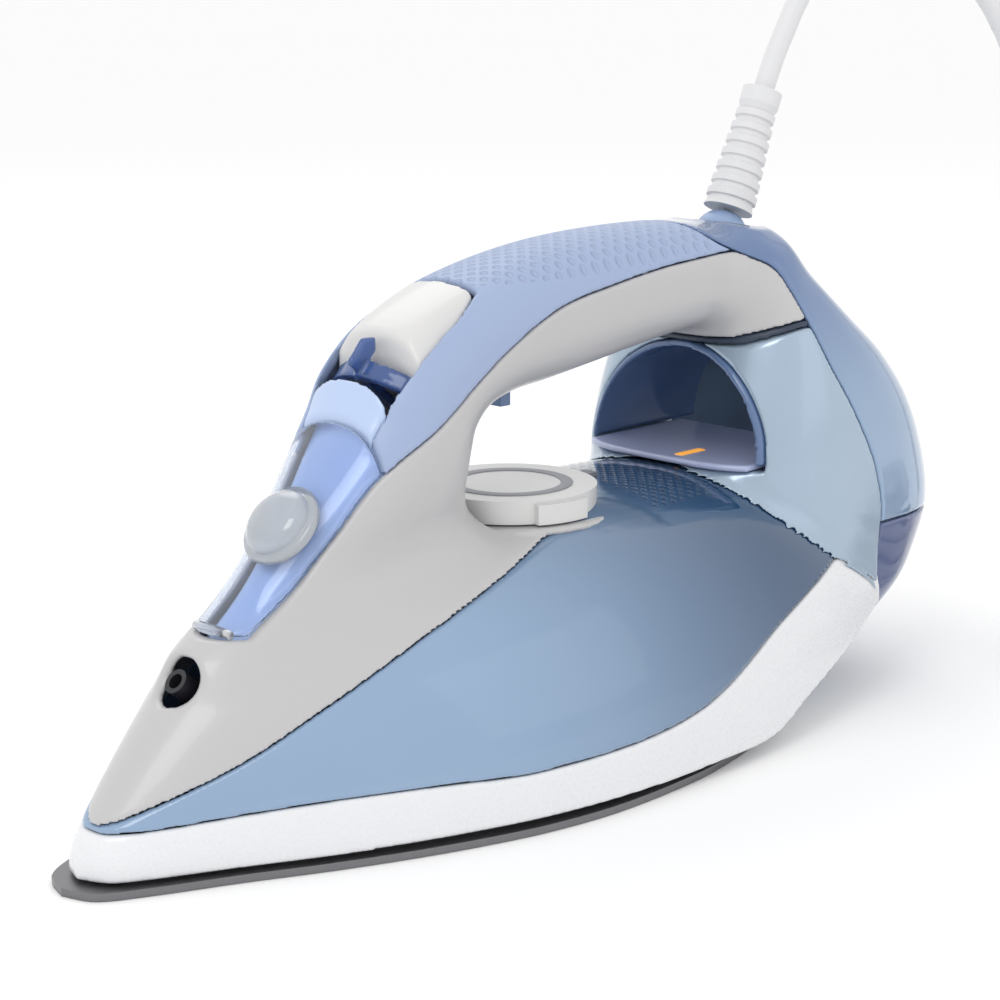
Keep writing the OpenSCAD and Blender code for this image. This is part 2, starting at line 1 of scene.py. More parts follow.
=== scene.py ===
"""Looks of the steam iron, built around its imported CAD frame.

Large shells are level sets: lofted master volumes are blended, cut along the seams seen in the side view and
turned into even quad meshes. Design lengths are millimetres from the sole's tip, X back, Y across, Z up."""
import math

import bpy
import numpy as np
import openvdb as vdb
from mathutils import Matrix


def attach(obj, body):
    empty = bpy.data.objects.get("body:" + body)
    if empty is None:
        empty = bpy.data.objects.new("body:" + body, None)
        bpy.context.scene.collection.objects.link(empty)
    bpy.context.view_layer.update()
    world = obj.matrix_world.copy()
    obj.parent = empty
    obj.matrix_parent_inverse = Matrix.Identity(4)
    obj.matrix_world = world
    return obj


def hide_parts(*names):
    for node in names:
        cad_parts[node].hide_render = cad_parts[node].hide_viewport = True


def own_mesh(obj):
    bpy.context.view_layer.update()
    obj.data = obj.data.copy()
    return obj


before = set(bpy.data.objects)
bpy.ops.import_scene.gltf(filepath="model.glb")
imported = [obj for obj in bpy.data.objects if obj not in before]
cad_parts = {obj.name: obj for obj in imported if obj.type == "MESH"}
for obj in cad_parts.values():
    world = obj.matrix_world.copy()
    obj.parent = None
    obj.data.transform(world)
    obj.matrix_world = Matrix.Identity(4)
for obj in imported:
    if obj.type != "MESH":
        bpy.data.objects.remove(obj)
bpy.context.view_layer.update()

# ---------------------------------------------------------------- driving sizes
IRON_LENGTH = 340.0
WALL = 2.4
GAP = 0.22
ARCH_RADIUS = 34.0
ARCH_HEIGHT = 82.0
DIAL_X = 168.0
DIAL_WELL_RADIUS = 30.0
DIAL_WELL_FLOOR = 76.4
DOOR_END = 98.3
BAND_END = 103.7
SHELL_SPLIT = 204
LEVER_CENTRE = (113.0, 96.6)
LEVER_TILT = math.radians(41.5)
LEVER_RADIUS = 22.0
BUTTON_CENTRE = (131.0, 132.0)
BUTTON_TILT = math.radians(17)
CORD_DIAMETER = 7.0
CORD_EXIT = (266.0, 0.0, 150.0)
CORD_LEAN = math.radians(24)
CORD_WELL_RADIUS = 13.5
RELIEF_LENGTH = 48.4
COIL_CENTRE = (392.0, -98.0)
COIL_RADIUS = 37.0
TAIL_RADIUS = 22.0
PLUG_HEIGHT = 42.2
SHIFT = np.array([-IRON_LENGTH / 2, 0.0, 0.0])

# Seen from above: half widths of the sole and the body. Side view: the body's ridge and the skirt's two edges.
SOLE = [(0, 0), (3, 8.6), (14, 15.6), (40, 27.4), (60, 37.2), (81, 46.3), (101, 53.6), (123, 59.8),
        (150, 63.4), (186, 62.2), (203, 59.2), (219, 55), (236, 46.5), (246, 35), (252, 0)]
BODY = [(4.8, 0), (8, 7.6), (14, 12.6), (40, 25.4), (60, 35.6), (81, 45), (101, 52.4), (123, 58.8),
        (150, 63.2), (186, 65), (215, 64), (240, 61), (265, 57), (292, 50)]
RIDGE = [(4.8, 4), (9.2, 15), (40, 49.6), (52.7, 58.6), (80, 67), (137, 77), (167, 80.5), (200, 80.5),
         (240, 79), (265, 73), (292, 62)]
SKIRT_LOW = [(4.8, 3), (60, 3.6), (200, 4.6), (222, 6), (240, 13), (292, 32)]
SKIRT_TOP = [(4.8, 14.4), (9.2, 15), (57, 18.4), (90, 18.6), (124, 17.4), (183, 22), (232, 40), (292, 58)]
TANK_SEAM = [(0, 9), (12, 17), (41, 29.5), (66, 42), (100, 56.5), (142, 70.6), (176, 80.5), (205, 92)]
# Fullness of the body's cross section along its length.
FULL = [(4.8, 1.9), (60, 2), (140, 2.5), (292, 2.9)]
# Column and handle: matching points along the front and rear outlines, and the half width at each pair.
COLUMN_FRONT = [(46, 53.5), (53, 59.4), (66, 74.5), (79, 89.5), (90, 103), (98.5, 114.5), (104, 125),
                (116, 137), (134, 146), (152, 151.4), (172, 155.2), (191, 157.2), (213, 158), (236, 157.7),
                (254, 155.8), (270, 151.5)]
COLUMN_REAR = [(104, 40), (120, 52), (134, 66), (138, 79), (137.5, 91), (138, 100), (140, 106), (145, 110.4),
               (152, 112.6), (160, 114), (172, 115), (188, 117), (210, 120), (230, 122.5), (246, 124),
               (262, 124.6)]
COLUMN_HALF = [9, 12, 17, 21, 23.6, 24.4, 24, 23.4, 22.8, 22.2, 21.6, 21.2, 21, 21.4, 22.6, 24.6]
# Side view: edge between the grey shell below and the door and blue panels above it.
PANEL_EDGE = [(40, 46), (52, 57), (56.4, 60.2), (72, 71.6), (84, 83.9), (97.7, 99.3), (118.5, 113),
              (143, 128.5), (166.7, 138.9), (190.9, 143.4), (216, 146.6), (231, 147.7), (246, 148.6),
              (290, 149)]
PANEL_LOWEST = 60.2
# Half width of the channel between the handle's rails, which holds the band, the lever and the button.
CHANNEL = [(98, 14.3), (104, 15.8), (110, 17.3), (120, 17.5), (131, 16.4), (141, 13)]
# Side view: seam between the cover and the shells in front of it, by height, and the seal under the grey shell.
COVER_SEAM = [(24, 286), (34, 288), (44, 291), (60, 293), (78, 289), (96, 280), (112, 271), (124, 266.2),
              (136, 262), (143.6, 258), (148, 250), (152, 242.5), (156, 238.5), (165, 229.5)]
SEAL = [(204, 98), (226, 100), (236, 118.5), (249, 120.6), (252, 122.6), (256.3, 124.8), (263.6, 126.7),
        (300, 128)]
# Rear housing by height: front face, back face, half width.
HOUSING = [(24, 262, 310, 43), (34, 256, 326, 45.5), (44, 250, 334, 47), (60, 243, 340, 49),
           (78, 238, 337, 48.5), (96, 241, 328, 46.5), (112, 246, 314, 43), (124, 250, 299, 39),
           (136, 252, 286, 33), (146, 254, 277, 26), (152, 257, 271, 19)]


def metres(point):
    """A design point in the frame's metres."""
    return tuple((np.array(point, float) + SHIFT) / 1000)


def smooth_curve(points, at):
    """Catmull-Rom curve through points (x, value), level past both ends."""
    p = np.asarray(points, float)
    x = np.clip(np.asarray(at, float), p[0, 0], p[-1, 0])
    i = np.clip(np.searchsorted(p[:, 0], x, side="right") - 1, 0, len(p) - 2)
    before, after = np.maximum(np.arange(len(p)) - 1, 0), np.minimum(np.arange(len(p)) + 1, len(p) - 1)
    slope = (p[after, 1] - p[before, 1]) / (p[after, 0] - p[before, 0])
    width = p[i + 1, 0] - p[i, 0]
    t = (x - p[i, 0]) / width
    return (p[i, 1] * (2 * t**3 - 3 * t**2 + 1) + slope[i] * width * (t**3 - 2 * t**2 + t)
            + p[i + 1, 1] * (3 * t**2 - 2 * t**3) + slope[i + 1] * width * (t**3 - t**2))


def refined(values, steps):
    """The same list of rows as a smooth curve with steps samples from each row to the next."""
    rows = np.asarray(values, float)
    at = np.linspace(0, len(rows) - 1, (len(rows) - 1) * steps + 1)
    return np.stack([smooth_curve(np.stack([np.arange(len(rows)), c], 1), at) for c in rows.T], 1)


# ---------------------------------------------------------------- level sets
VOXEL = 0.7
LOW = np.array([-4.0, -72.0, -4.0])
HIGH = np.array([348.0, 72.0, 165.0])
COUNT = np.ceil((HIGH - LOW) / VOXEL).astype(int) + 1
BAND = 14.0
X, Y, Z = (
    (LOW[a] + VOXEL * np.arange(COUNT[a])).astype(np.float32).reshape([-1 if a == b else 1 for b in range(3)])
    for a in range(3)
)
X2, Z2 = np.meshgrid(X.ravel(), Z.ravel(), indexing="ij")


def volume_of(rings):
    """Signed distance, negative inside, to the closed loft through rings of equal length."""
    rings = np.asarray(rings, float)
    rows, n = rings.shape[:2]
    i, j = np.meshgrid(np.arange(rows - 1), np.arange(n), indexing="ij")
    k = (j + 1) % n
    quads = np.stack([i * n + j, i * n + k, (i + 1) * n + k, (i + 1) * n + j], -1).reshape(-1, 4)
    points = np.concatenate([rings.reshape(-1, 3), [rings[0].mean(0), rings[-1].mean(0)]]) - LOW
    ring, following = np.arange(n), (np.arange(n) + 1) % n
    first = np.stack([following, ring, np.full(n, rows * n)], 1)
    last = np.stack([(rows - 1) * n + ring, (rows - 1) * n + following, np.full(n, rows * n + 1)], 1)
    grid = vdb.FloatGrid.createLevelSetFromPolygons(
        points.astype(np.float32), triangles=np.concatenate([first, last]).astype(np.uint32),
        quads=quads.astype(np.uint32), transform=vdb.createLinearTransform(voxelSize=VOXEL),
        halfWidth=BAND / VOXEL)
    out = np.full(COUNT, BAND, np.float32)
    grid.copyToArray(out)
    return out


def blended(a, b, reach):
    """Union with a fillet."""
    h = np.clip(0.5 + 0.5 * (b - a) / reach, 0, 1)
    return b * (1 - h) + a * h - reach * h * (1 - h)


def carved(a, b, edge=1.0):
    """The part of a outside b, with a softened edge."""
    return kept(a, -b, edge)


def kept(a, b, edge=1.0):
    """The part of a inside b, with a softened edge."""
    return -blended(-a, -b, edge)


def side_field(values):
    """A field of the side view, spread across the width."""
    return values.astype(np.float32)[:, None, :]


def above(points):
    """Signed distance to the side-view region above a curve, negative above."""
    height = smooth_curve(points, X.ravel())
    slope = np.gradient(height, VOXEL)
    return side_field((height[:, None] - Z2) / np.sqrt(1 + slope[:, None] ** 2))


def line(point, normal):
    """Signed distance to a side-view half plane, positive along its normal."""
    length = math.hypot(*normal)
    return side_field(((X2 - point[0]) * normal[0] + (Z2 - point[1]) * normal[1]) / length)


def relaxed(points, quads, rounds=14):
    """Evens out the grid's steps along edges, without shrinking the shape."""
    edges = np.unique(np.sort(np.concatenate([quads[:, [0, 1]], quads[:, [1, 2]], quads[:, [2, 3]],
                                              quads[:, [3, 0]]]), axis=1), axis=0)
    a, b = edges.T
    count = np.bincount(np.concatenate([a, b]), minlength=len(points))[:, None]
    for share in (0.5, -0.52) * rounds:
        total = np.stack([np.bincount(a, points[b, c], len(points)) + np.bincount(b, points[a, c], len(points))
                          for c in range(3)], 1)
        points = points + share * (total / np.maximum(count, 1) - points)
    return points


def linked(name, mesh):
    """A smooth-shaded object of the mesh, in the scene."""
    mesh.shade_smooth()
    piece = bpy.data.objects.new(name, mesh)
    bpy.context.collection.objects.link(piece)
    return piece


def mesh_of(name, field):
    """A smooth-shaded quad mesh of the field's zero surface."""
    grid = vdb.FloatGrid(BAND)
    grid.copyFromArray(np.ascontiguousarray(field, np.float32))
    grid.transform = vdb.createLinearTransform(voxelSize=VOXEL)
    points, quads = grid.convertToQuads(isovalue=0.0)
    points = (relaxed(points.astype(float), quads.astype(np.int64)) + LOW + SHIFT) / 1000
    mesh = bpy.data.meshes.new(name)
    mesh.vertices.add(len(points))
    mesh.vertices.foreach_set("co", points.astype(np.float32).ravel())
    mesh.loops.add(len(quads) * 4)
    mesh.loops.foreach_set("vertex_index", quads[:, ::-1].astype(np.int32).ravel())
    mesh.polygons.add(len(quads))
    mesh.polygons.foreach_set("loop_start", np.arange(0, len(quads) * 4, 4, dtype=np.int32))
    mesh.polygons.foreach_set("loop_total", np.full(len(quads), 4, np.int32))
    mesh.update(calc_edges=True)
    mesh.validate()
    first, second, third = (points[quads[:, k]] for k in range(3))
    if np.einsum("ij,ij->i", first, np.cross(second, third)).sum() > 0:
        mesh.flip_normals()
    return linked(name, mesh)


def shell(outer, region, wall=WALL, edge=0.6):
    """A wall under the outer surface, inside the region."""
    return kept(carved(outer, outer + wall, 0.3), region, edge)


# ---------------------------------------------------------------- materials
def material(name, colour, roughness, **more):
    """Moulded plastic or metal: gentle tone variation and fine surface texture from object-space noise, and
    where asked a fade of painted light and shade.
    """
    made = bpy.data.materials.new(name)
    made.use_nodes = True
    tree = made.node_tree
    shader = tree.nodes["Principled BSDF"]
    place = tree.nodes.new("ShaderNodeTexCoord").outputs["Object"]
    broad = tree.nodes.new("ShaderNodeTexNoise")
    broad.inputs["Scale"].default_value = more.get("broad", 14)
    tree.links.new(place, broad.inputs["Vector"])
    mix = tree.nodes.new("ShaderNodeMix")
    mix.data_type = "RGBA"
    tree.links.new(broad.outputs["Fac"], mix.inputs["Factor"])
    other = more.get("other", tuple(c * 0.96 for c in colour))
    mix.inputs["A"].default_value = (*colour, 1)
    mix.inputs["B"].default_value = (*other, 1)
    tone = mix.outputs["Result"]
    # Painted light and shade: a fade to another colour along one direction.
    if "ramp" in more:
        tone = painted_shading(tree, place, tone, *more["ramp"])
    tree.links.new(tone, shader.inputs["Base Color"])
    fine = tree.nodes.new("ShaderNodeTexNoise")
    fine.inputs["Scale"].default_value = more.get("grain", 900)
    tree.links.new(place, fine.inputs["Vector"])
    rough = tree.nodes.new("ShaderNodeMapRange")
    rough.inputs["To Min"].default_value = roughness * 0.85
    rough.inputs["To Max"].default_value = roughness * 1.15
    tree.links.new(fine.outputs["Fac"], rough.inputs["Value"])
    tree.links.new(rough.outputs["Result"], shader.inputs["Roughness"])
    bump = tree.nodes.new("ShaderNodeBump")
    bump.inputs["Strength"].default_value = more.get("bump", 0.04)
    bump.inputs["Distance"].default_value = 0.0002
    tree.links.new(more["pattern"](tree, place) if "pattern" in more else fine.outputs["Fac"],
                   bump.inputs["Height"])
    tree.links.new(bump.outputs["Normal"], shader.inputs["Normal"])
    for socket in ("Metallic", "Coat Weight", "Coat Roughness", "Transmission Weight", "IOR", "Alpha",
                   "Emission Strength", "Specular IOR Level"):
        if socket in more:
            shader.inputs[socket].default_value = more[socket]
    if "Emission Color" in more:
        shader.inputs["Emission Color"].default_value = (*more["Emission Color"], 1)
    return made


def painted_shading(tree, place, tone, axis, start, end, colour):
    """Paints light and shade into the tone: fades it to another colour between two points along a direction, in
    metres.
    """
    dot = tree.nodes.new("ShaderNodeVectorMath")
    dot.operation = "DOT_PRODUCT"
    dot.inputs[1].default_value = axis
    tree.links.new(place, dot.inputs[0])
    span = tree.nodes.new("ShaderNodeMapRange")
    span.interpolation_type = "SMOOTHSTEP"
    span.inputs["From Min"].default_value = start
    span.inputs["From Max"].default_value = end
    tree.links.new(dot.outputs["Value"], span.inputs["Value"])
    mix = tree.nodes.new("ShaderNodeMix")
    mix.data_type = "RGBA"
    tree.links.new(span.outputs["Result"], mix.inputs["Factor"])
    tree.links.new(tone, mix.inputs["A"])
    mix.inputs["B"].default_value = (*colour, 1)
    return mix.outputs["Result"]


def dimples(pitch, low_x, high_x, low_z):
    """Height of a staggered field of round dimples seen from above, on the stretch given in metres."""
    def build(tree, place):
        split = tree.nodes.new("ShaderNodeSeparateXYZ")
        tree.links.new(place, split.inputs[0])

        def maths(operation, a, b=None):
            node = tree.nodes.new("ShaderNodeMath")
            node.operation = operation
            for socket, value in zip(node.inputs, (a, b)):
                if isinstance(value, (int, float)):
                    socket.default_value = value
                elif value is not None:
                    tree.links.new(value, socket)
            return node.outputs[0]

        x, y, z = split.outputs
        u = maths("MULTIPLY", maths("ADD", x, y), math.pi / pitch)
        v = maths("MULTIPLY", maths("SUBTRACT", x, y), math.pi / pitch)
        wave = maths("MULTIPLY", maths("SINE", u), maths("SINE", v))
        dots = maths("MAXIMUM", maths("SUBTRACT", maths("ABSOLUTE", wave), 0.45), 0)
        inside = maths("MULTIPLY", maths("GREATER_THAN", x, low_x), maths("LESS_THAN", x, high_x))
        inside = maths("MULTIPLY", inside, maths("GREATER_THAN", z, low_z))
        return maths("MULTIPLY", maths("MULTIPLY", dots, inside), -6)
    return build


# ---------------------------------------------------------------- pieces made from points
def soft_edges(piece, width, segments, angle, harden=False):
    """Rounds edges sharper than an angle in degrees, over a width in millimetres."""
    soft = piece.modifiers.new("soft_edges", "BEVEL")
    soft.width = width / 1000
    soft.segments = segments
    soft.limit_method = "ANGLE"
    soft.angle_limit = math.radians(angle)
    soft.harden_normals = harden


def turned(name, profile, place, tilt):
    """A solid of revolution from (radius, height) points, leaning back by a tilt in degrees."""
    sides, rows = 96, len(profile)
    vertices, faces = [], []
    lean = math.radians(tilt)
    for radius, height in profile:
        for k in range(sides if radius else 1):
            a = 2 * math.pi * k / sides
            u, y = radius * math.cos(a), radius * math.sin(a)
            spot = np.array((u * math.cos(lean) - height * math.sin(lean), y,
                             u * math.sin(lean) + height * math.cos(lean)))
            vertices.append(metres(spot + place))
    start = [0]
    for radius, _ in profile:
        start.append(start[-1] + (sides if radius else 1))
    for i in range(rows - 1):
        a, b = start[i], start[i + 1]
        for k in range(sides):
            n = (k + 1) % sides
            if not profile[i][0]:
                faces.append((a, b + k, b + n))
            elif not profile[i + 1][0]:
                faces.append((a + n, a + k, b))
            else:
                faces.append((a + k, b + k, b + n, a + n))
    mesh = bpy.data.meshes.new(name)
    mesh.from_pydata(vertices, [], faces)
    piece = linked(name, mesh)
    soft_edges(piece, 0.4, 2, 30)
    return piece


def coil_spring(name, foot, axis, radius, height, replaced):
    """A steel compression spring from its fixed foot."""
    axis, side = np.array(axis), np.array((0.0, 1.0, 0.0))
    other = np.cross(axis, side)
    turns, steps, sides, wire = 6, 24, 8, 0.4
    rise, vertices, faces = (height - 2 * wire) / (2 * math.pi * turns), [], []
    for k in range(turns * steps + 1):
        a = 2 * math.pi * k / steps
        out = side * math.cos(a) + other * math.sin(a)
        along = (other * math.cos(a) - side * math.sin(a)) * radius + axis * rise
        up = np.cross(along / np.linalg.norm(along), out)
        centre = np.array(foot) + axis * (wire + rise * a) + radius * out
        for m in range(sides):
            b = 2 * math.pi * m / sides
            vertices.append(metres(centre + wire * (out * math.cos(b) + up * math.sin(b))))
            if k:
                low, high, n = (k - 1) * sides, k * sides, (m + 1) % sides
                faces.append((low + m, low + n, high + n, high + m))
    faces += [tuple(range(sides))[::-1], tuple(range(turns * steps * sides, (turns * steps + 1) * sides))]
    mesh = bpy.data.meshes.new(name)
    mesh.from_pydata(vertices, [], faces)
    piece = linked(name, mesh)
    add(piece, steel, "iron", "pin_steel", replaced)
    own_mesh(piece)


def dress(node, made, bevel=0.0):
    """Gives a CAD node its finished material and, where asked, softened edges."""
    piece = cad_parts[node]
    piece.data.materials.clear()
    piece.data.materials.append(made)
    if bevel:
        soft_edges(piece, bevel, 3, 35, harden=True)


def add(piece, made, body, slot, *replaced):
    """Puts a modelled piece on its body, in place of the CAD nodes it stands for."""
    piece.data.materials.append(made)
    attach(piece, body)
    if replaced:
        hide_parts(*replaced)


# ---------------------------------------------------------------- camera
def camera():
    """The main view, from ahead of the tip and to its side, looking slightly down."""
    data = bpy.data.cameras.new("view")
    data.lens = 84.6
    data.sensor_width = 36
    view = bpy.data.objects.new("view", data)
    view.location = ((-329.69 - IRON_LENGTH / 2) / 1000, -0.48494, 0.24132)
    view.rotation_euler = (math.radians(90 - 13.2), 0, math.radians(-45.5))
    bpy.context.collection.objects.link(view)
    bpy.context.scene.camera = view


camera()


# ---------------------------------------------------------------- cord
RELIEF_TOP = (CORD_EXIT[0] + RELIEF_LENGTH * math.sin(CORD_LEAN), 0.0,
              CORD_EXIT[2] + RELIEF_LENGTH * math.cos(CORD_LEAN))
CORD_ROUTE = [
    RELIEF_TOP, (294, -1, 212), (306, -4, 232), (326, -12, 245), (350, -22, 243), (370, -32, 222),
    (384, -42, 185), (395, -50, 140), (402, -57, 95), (406, -60, 60), (402, -61, 40), (386, -61, 28.2),
]


def coil_points():
    """Turns wound inward, outward and inward again from the top layer down, then up the middle to the plug."""
    inner, outer, turns = COIL_RADIUS - 7.5, COIL_RADIUS + 7.5, 2.25
    points = []
    for layer, (start, end) in enumerate(((outer, inner), (inner, outer), (outer, inner))):
        steps = int(turns * 20)
        for k in range(steps):
            angle = math.radians(115) + (layer * turns + k / 20) * 2 * math.pi
            landing = max(0, 1 - k / 12) if layer == 0 else 0
            radius = start + (end - start) * k / steps - (start - COIL_RADIUS) * landing
            height = 18.5 - 7.0 * layer + (7 * max(0, 1 - k / 10) if layer else 9 * landing)
            points.append((radius, angle, height))
    last = points[-1][1]
    finish = math.radians(-90) + 2 * math.pi * 8
    for k in range(1, 25):
        t = k / 24
        points.append((inner + (TAIL_RADIUS - inner) * min(1, 3 * t), last + (finish - last) * t,
                       4.5 + (PLUG_HEIGHT - 4.5) * (1 - math.cos(math.pi * t)) / 2))
    return [(COIL_CENTRE[0] + r * math.cos(a), COIL_CENTRE[1] + r * math.sin(a), z) for r, a, z in points]


def cord():
    """The lead as one curve from the strain relief to the plug, and its length in metres."""
    plug_mouth = (COIL_CENTRE[0] + 2, COIL_CENTRE[1] - TAIL_RADIUS, PLUG_HEIGHT)
    route = refined(np.array(CORD_ROUTE, float), 4)[:-1].tolist() + coil_points() + [plug_mouth]
    data = bpy.data.curves.new("mains_cord", "CURVE")
    data.dimensions = "3D"
    spline = data.splines.new("POLY")
    spline.points.add(len(route) - 1)
    for point, place in zip(spline.points, route):
        point.co = (*metres(place), 1)
    data.bevel_depth = CORD_DIAMETER / 2000
    data.bevel_resolution = 4
    data.use_fill_caps = True
    lead = bpy.data.objects.new("mains_cord", data)
    bpy.context.collection.objects.link(lead)
    length = sum(math.dist(a, b) for a, b in zip(route, route[1:])) / 1000
    return lead, length


cord_white = material("cord_white", (0.70, 0.70, 0.71), 0.5, bump=0.1, grain=1600)
lead, lead_length = cord()
add(lead, cord_white, "lead", "cord_white", "cord", "cord_coil", "cord_tail")

# ---------------------------------------------------------------- master volumes
def body_rings():
    """Cross sections of the body, from the tip to under the housing."""
    rings = []
    angles = np.radians(np.linspace(0, 180, 61))
    for x in np.concatenate([np.linspace(4.8, 12, 13), np.arange(14, 293, 2.0)]):
        n, low = smooth_curve(FULL, x), smooth_curve(SKIRT_LOW, x)
        w, h = max(smooth_curve(BODY, x), 0.2), max(smooth_curve(RIDGE, x) - low, 0.2)
        c, s = np.cos(angles), np.sin(angles)
        rings.append(np.stack([np.full_like(c, x), np.sign(c) * w * np.abs(c) ** (2 / n),
                               low + h * np.abs(s) ** (2 / 2.1)], 1))
    return rings


def column_rings():
    """Cross sections of the nose, the column and the handle, square to their run."""
    rows = refined(np.hstack([COLUMN_FRONT, COLUMN_REAR, np.array(COLUMN_HALF)[:, None]]), 5)
    angles = np.radians(np.linspace(0, 360, 73)[:-1])
    u, s = np.cos(angles), np.sin(angles)
    rings = []
    for fx, fz, gx, gz, w in rows:
        centre, half = np.array([(fx + gx) / 2, (fz + gz) / 2]), np.array([(fx - gx) / 2, (fz - gz) / 2])
        across = np.sign(u) * np.abs(u) ** 0.8
        rings.append(np.stack([centre[0] + half[0] * across, np.sign(s) * w * np.abs(s) ** 0.8,
                               centre[1] + half[1] * across], 1))
    return rings


def housing_rings():
    """Level cross sections of the rear housing."""
    angles = np.radians(np.linspace(0, 360, 97)[:-1])
    rings = []
    for z, front, back, w in refined(HOUSING, 5):
        c, s = np.cos(angles), np.sin(angles)
        half = (back - front) / 2
        rings.append(np.stack([(front + back) / 2 + half * np.sign(c) * np.abs(c) ** 0.62,
                               w * np.sign(s) * np.abs(s) ** 0.62, np.full_like(c, z)], 1))
    return rings


body = volume_of(body_rings())
column = volume_of(column_rings())
housing = volume_of(housing_rings())

seam_x = smooth_curve(COVER_SEAM, Z.ravel())
behind_seam = side_field((seam_x[None, :] - X2) / np.sqrt(1 + np.gradient(seam_x, VOXEL) ** 2)[None, :])
over_skirt = above(SKIRT_TOP)
over_tank_seam = above(TANK_SEAM)
over_panel = np.maximum(above(PANEL_EDGE), side_field(PANEL_LOWEST - Z2))
over_seal = above(SEAL)
behind_door = side_field(DOOR_END - X2)
channel = (np.abs(Y) - smooth_curve(CHANNEL, X.ravel())[:, None, None]).astype(np.float32)
# Half-round tunnel through the rear support, above the platform.
tunnel = (np.sqrt(Y**2 + (Z - ARCH_HEIGHT) ** 2) - ARCH_RADIUS).astype(np.float32)
tunnel = np.maximum(np.broadcast_to(tunnel, COUNT), ARCH_HEIGHT + 0.4 - Z)
nose = blended(body, column, 16)
top = blended(column, housing, 13)


# ---------------------------------------------------------------- shells
def sole_cut():
    """Room for the soleplate's step inside the skirt."""
    half = smooth_curve(SOLE, X.ravel())[:, None, None].astype(np.float32)
    return np.maximum(np.maximum(np.abs(Y) - (half - 4.9), Z - 8), np.maximum(X - 246, 13 - X))


def skirt_shell():
    """The white skirt above the soleplate."""
    wall = shell(body, -over_skirt + GAP)
    return carved(wall, np.broadcast_to(sole_cut(), COUNT), 0.3)


def tank_shell():
    """The water tank: its sides, and the deck under the handle's opening."""
    lower = np.maximum(over_skirt + GAP, -over_tank_seam + GAP)
    deck = np.maximum(np.maximum(side_field(SHELL_SPLIT - 2 - X2), side_field(Z2 - 97)), over_skirt + GAP)
    region = np.minimum(lower, deck)
    region = np.maximum(region, side_field(X2 - 291))
    return shell(nose, region, 2.0)


def upper_shell():
    """The grey shell: nose, column and the handle's underside."""
    front = np.maximum(np.maximum(over_tank_seam + GAP, side_field(X2 - SHELL_SPLIT)), -over_panel + GAP)
    handle = np.maximum(np.maximum(over_seal + GAP, side_field(SHELL_SPLIT - 4 - X2)),
                        np.maximum(-over_panel, -behind_seam) + GAP)
    wall = shell(np.where(X < SHELL_SPLIT, nose, top), np.minimum(front, handle))
    # Well round the dial, with its floor.
    dial = np.sqrt((X - DIAL_X) ** 2 + Y**2)
    well = np.maximum(dial - DIAL_WELL_RADIUS, DIAL_WELL_FLOOR - Z)
    floor = np.maximum(dial - DIAL_WELL_RADIUS - 1.5, np.abs(Z - (DIAL_WELL_FLOOR - 1)) - 1)
    wall = np.minimum(carved(wall, np.broadcast_to(np.maximum(well, Z - 92), COUNT), 1.2),
                      np.broadcast_to(floor, COUNT))
    # Scoop and hole of the spray nozzle.
    scoop = np.sqrt((X - 35.5) ** 2 + (Y * 0.8) ** 2 + (Z - 52.5) ** 2) - 9
    hole = np.sqrt(Y**2 + ((X - 41) * 0.62 + (Z - 48.6) * 0.78) ** 2) - 3.9
    wall = carved(wall, scoop, 1.4)
    wall = carved(wall, np.maximum(hole, Z - 56), 0.4)
    # Slot of the boost trigger.
    slot = np.maximum(np.maximum(np.abs(X - 167.5) - 13, np.abs(Y) - 8), np.abs(Z - 114) - 9)
    return carved(wall, np.broadcast_to(slot, COUNT), 0.5)


def cord_well(wall):
    """The wall with the round well that the strain relief swings in."""
    well = np.sqrt((X - CORD_EXIT[0]) ** 2 + Y**2) - CORD_WELL_RADIUS
    return carved(wall, np.broadcast_to(np.maximum(well, 140 - Z), COUNT), 0.8)


def handle_top_shell():
    """The blue top of the handle and its two rails, open between them."""
    region = np.maximum(np.maximum(over_panel, -behind_seam) + GAP, behind_door + GAP)
    cap = shell(top, region, 2.6)
    return cord_well(carved(cap, np.maximum(channel, X - 141.3), 0.6))


def door_pane(inset, wall, margin):
    """A layer of the filler door's surface, kept back from its outline by a margin."""
    region = np.maximum(over_panel + margin, -behind_door + margin)
    return kept(carved(nose + inset, nose + inset + wall, 0.2), region, 1.4)


def band_shell():
    """The band between the door and the lever."""
    region = np.maximum(np.maximum(DOOR_END + GAP - X, X - BAND_END), channel + GAP)
    return shell(column, region, 2.4, 0.8)


def along_lever():
    """Distance along the lever's axis and out from it."""
    u, w = X - LEVER_CENTRE[0], Z - LEVER_CENTRE[1]
    s = u * math.sin(LEVER_TILT) + w * math.cos(LEVER_TILT)
    r = w * math.sin(LEVER_TILT) - u * math.cos(LEVER_TILT)
    return s, r


def lever_ring():
    """The steam lever: an arc round its axis, the arm inside and the blade that the finger pushes."""
    s, r = along_lever()
    radius = np.sqrt(r**2 + Y**2)
    angle = np.degrees(np.arctan2(np.abs(Y), r)) - 45
    ring = np.maximum(np.maximum(np.abs(radius - LEVER_RADIUS) - 1.5, np.abs(s - 19.2) - 2.7), angle * 0.4)
    arm = np.maximum(np.maximum(radius - LEVER_RADIUS, np.abs(Y) - 2.6), np.abs(s - 18.0) - 1.2)
    arm = np.maximum(np.maximum(arm, 3.2 - radius), -r)
    blade = np.maximum(np.abs(Y) - 1.1, np.maximum(np.abs(r - 25.6) - 3, np.abs(s - 23) - 5.6))
    blade = np.maximum(blade, (r - 27.2) * 0.62 + (s - 27.0) * 0.78)
    blade = np.maximum(blade, (24.2 - r) * 0.5 + (s - 27.5) * 0.5)
    return blended(np.minimum(ring, arm), blade, 0.8)


def nose_crown():
    """Height of the column's crown at each x."""
    return smooth_curve(COLUMN_FRONT, X.ravel())[:, None, None].astype(np.float32)


